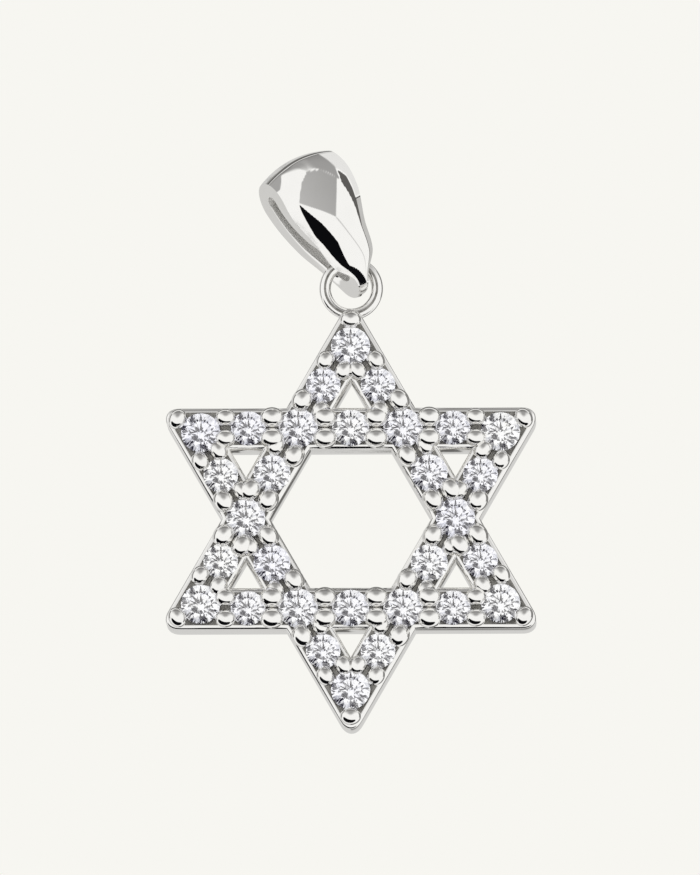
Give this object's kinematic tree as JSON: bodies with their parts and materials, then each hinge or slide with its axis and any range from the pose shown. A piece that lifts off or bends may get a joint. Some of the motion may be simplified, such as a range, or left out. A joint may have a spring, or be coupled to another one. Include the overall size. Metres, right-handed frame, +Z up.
{
  "type": "star of david pendant",
  "caption": "Pierced six-pointed star pendant, pavé set with round brilliants in shared beads, hanging by a soldered jump ring from a domed tapered bail.",
  "frame": {"origin": "middle of the bail's inner top, where a chain or cord carries the pendant", "axes": "+X to the wearer's left as seen from the front, along the star's horizontal bars; +Y from the stones to the open back; +Z up"},
  "size_m": [0.0158, 0.0036, 0.0252],
  "materials": {
    "white_metal": "polished",
    "brilliant": "polished"
  },
  "bodies": {
    "bail": {"bail": "white_metal"},
    "star": {"star_frame": "white_metal", "tip_stone_1": "brilliant", "tip_stone_2": "brilliant", "tip_stone_3": "brilliant", "tip_stone_4": "brilliant", "tip_stone_5": "brilliant", "tip_stone_6": "brilliant", "crossing_stone_1": "brilliant", "crossing_stone_2": "brilliant", "crossing_stone_3": "brilliant", "crossing_stone_4": "brilliant", "crossing_stone_5": "brilliant", "crossing_stone_6": "brilliant", "side_stone_1": "brilliant", "side_stone_2": "brilliant", "side_stone_3": "brilliant", "side_stone_4": "brilliant", "side_stone_5": "brilliant", "side_stone_6": "brilliant", "leg_stone_1": "brilliant", "leg_stone_2": "brilliant", "leg_stone_3": "brilliant", "leg_stone_4": "brilliant", "leg_stone_5": "brilliant", "leg_stone_6": "brilliant", "leg_stone_7": "brilliant", "leg_stone_8": "brilliant", "leg_stone_9": "brilliant", "leg_stone_10": "brilliant", "leg_stone_11": "brilliant", "leg_stone_12": "brilliant"}
  },
  "joints": [
    {"name": "star_swing", "type": "hinge", "parent": "bail", "child": "star", "pos_m": [0.00215, 0.00057, -0.00349], "axis": [1, 0, 0], "range_deg": [-45, 25]}
  ]
}
